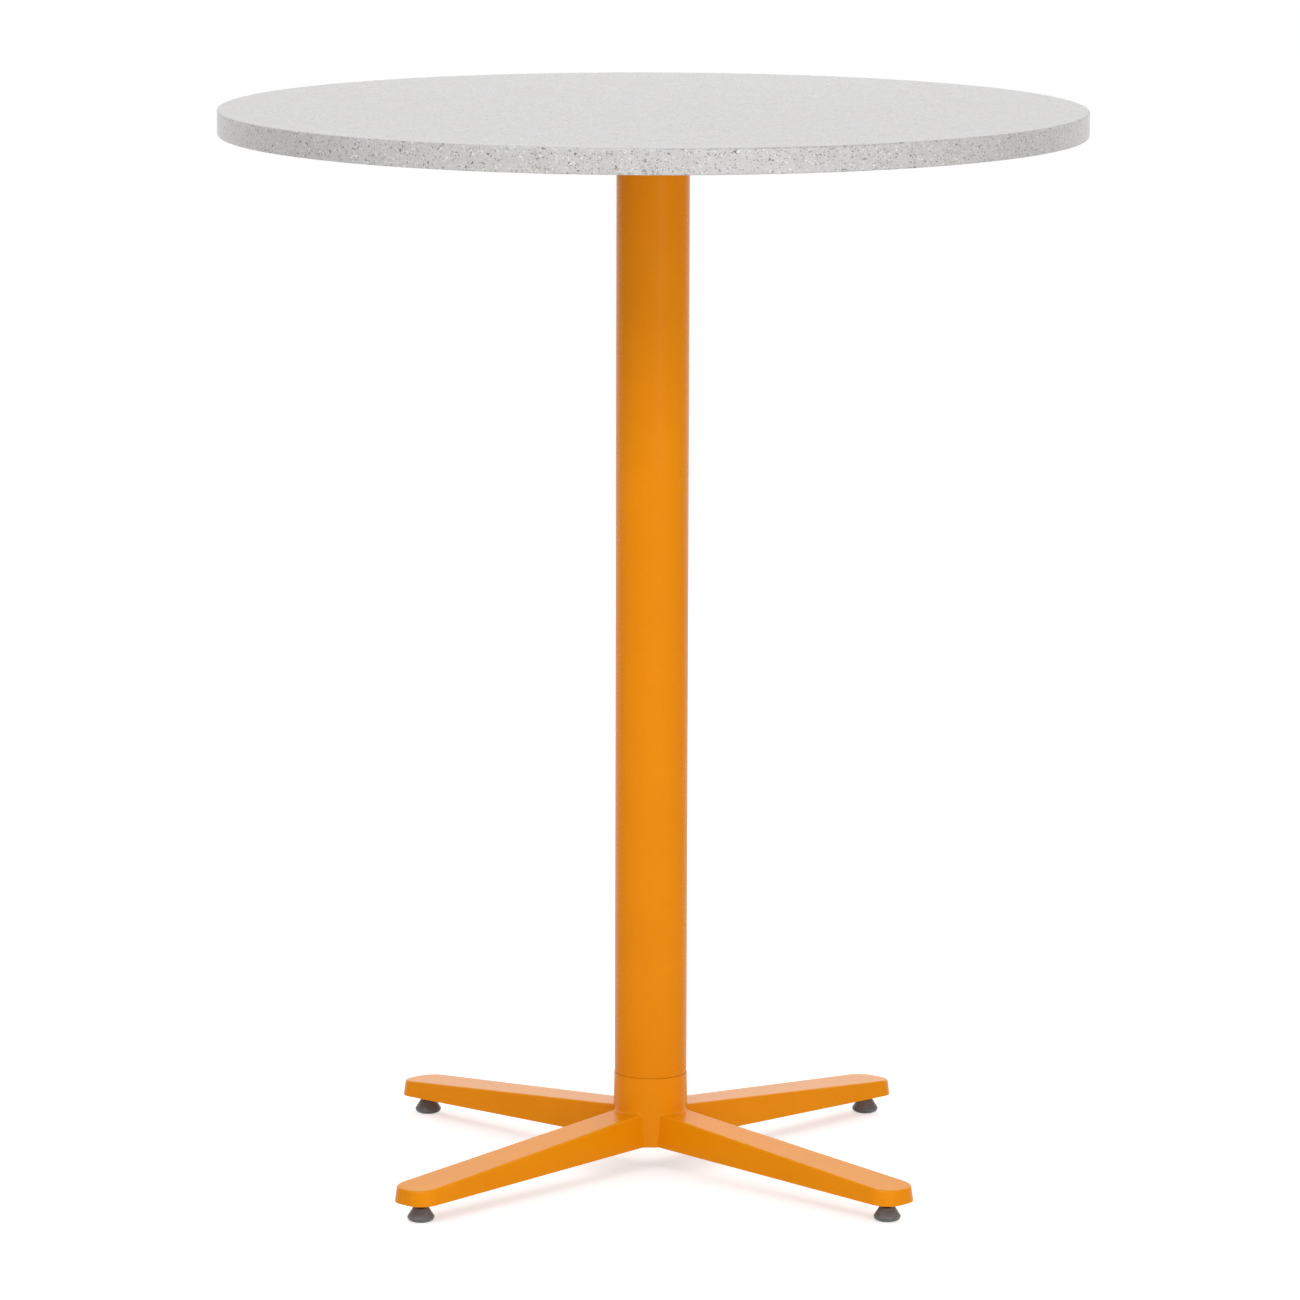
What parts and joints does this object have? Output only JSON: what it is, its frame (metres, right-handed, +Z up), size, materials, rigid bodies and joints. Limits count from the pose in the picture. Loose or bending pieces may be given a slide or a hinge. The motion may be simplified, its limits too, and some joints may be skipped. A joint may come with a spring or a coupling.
{
  "type": "round bar-height table",
  "caption": "Bar-height table: round speckled slab on a tube column with a cast four-leg base and screw-adjusted swivel glides.",
  "frame": {"origin": "on the floor, under the column's axis", "axes": "+Z up along the column; the legs point between X and Y; -Y is the front seen in the picture"},
  "size_m": [0.8999, 0.9, 1.12],
  "materials": {
    "speckled_slab": "satin",
    "orange_coat": "satin",
    "zinc_steel": "satin",
    "brass_inserts": "satin",
    "pad_plastic": "satin",
    "sole_rubber": "matte"
  },
  "bodies": {
    "frame": {"table_top": "speckled_slab", "top_inserts": "brass_inserts", "top_spider": "orange_coat", "spider_screws": "zinc_steel", "column_tube": "orange_coat", "tie_rod": "zinc_steel", "spider_nut": "zinc_steel", "base_washer": "zinc_steel", "base_lock_washer": "zinc_steel", "base_nut": "zinc_steel", "base_casting": "orange_coat"},
    "pad_back_right": {"glide_pad_back_right": "pad_plastic", "glide_sole_back_right": "sole_rubber"},
    "stud_back_right": {"glide_stud_back_right": "zinc_steel"},
    "pad_back_left": {"glide_pad_back_left": "pad_plastic", "glide_sole_back_left": "sole_rubber"},
    "stud_back_left": {"glide_stud_back_left": "zinc_steel"},
    "pad_front_left": {"glide_pad_front_left": "pad_plastic", "glide_sole_front_left": "sole_rubber"},
    "stud_front_left": {"glide_stud_front_left": "zinc_steel"},
    "pad_front_right": {"glide_pad_front_right": "pad_plastic", "glide_sole_front_right": "sole_rubber"},
    "stud_front_right": {"glide_stud_front_right": "zinc_steel"}
  },
  "joints": [
    {"name": "level_back_right", "type": "slide", "parent": "frame", "child": "pad_back_right", "axis": [0, 0, -1], "range_m": [-0.0015, 0.005]},
    {"name": "turn_back_right", "type": "hinge", "parent": "pad_back_right", "child": "stud_back_right", "pos_m": [0.239, 0.239, 0], "axis": [0, 0, -1], "range_deg": [-432, 1440]},
    {"name": "level_back_left", "type": "slide", "parent": "frame", "child": "pad_back_left", "axis": [0, 0, -1], "range_m": [-0.0015, 0.005]},
    {"name": "turn_back_left", "type": "hinge", "parent": "pad_back_left", "child": "stud_back_left", "pos_m": [-0.239, 0.239, 0], "axis": [0, 0, -1], "range_deg": [-432, 1440]},
    {"name": "level_front_left", "type": "slide", "parent": "frame", "child": "pad_front_left", "axis": [0, 0, -1], "range_m": [-0.0015, 0.005]},
    {"name": "turn_front_left", "type": "hinge", "parent": "pad_front_left", "child": "stud_front_left", "pos_m": [-0.239, -0.239, 0], "axis": [0, 0, -1], "range_deg": [-432, 1440]},
    {"name": "level_front_right", "type": "slide", "parent": "frame", "child": "pad_front_right", "axis": [0, 0, -1], "range_m": [-0.0015, 0.005]},
    {"name": "turn_front_right", "type": "hinge", "parent": "pad_front_right", "child": "stud_front_right", "pos_m": [0.239, -0.239, 0], "axis": [0, 0, -1], "range_deg": [-432, 1440]}
  ],
  "couplings": [
    {"joint": "turn_back_right", "follows": "level_back_right", "rad_per_m": 5026.5},
    {"joint": "turn_back_left", "follows": "level_back_left", "rad_per_m": 5026.5},
    {"joint": "turn_front_left", "follows": "level_front_left", "rad_per_m": 5026.5},
    {"joint": "turn_front_right", "follows": "level_front_right", "rad_per_m": 5026.5}
  ]
}
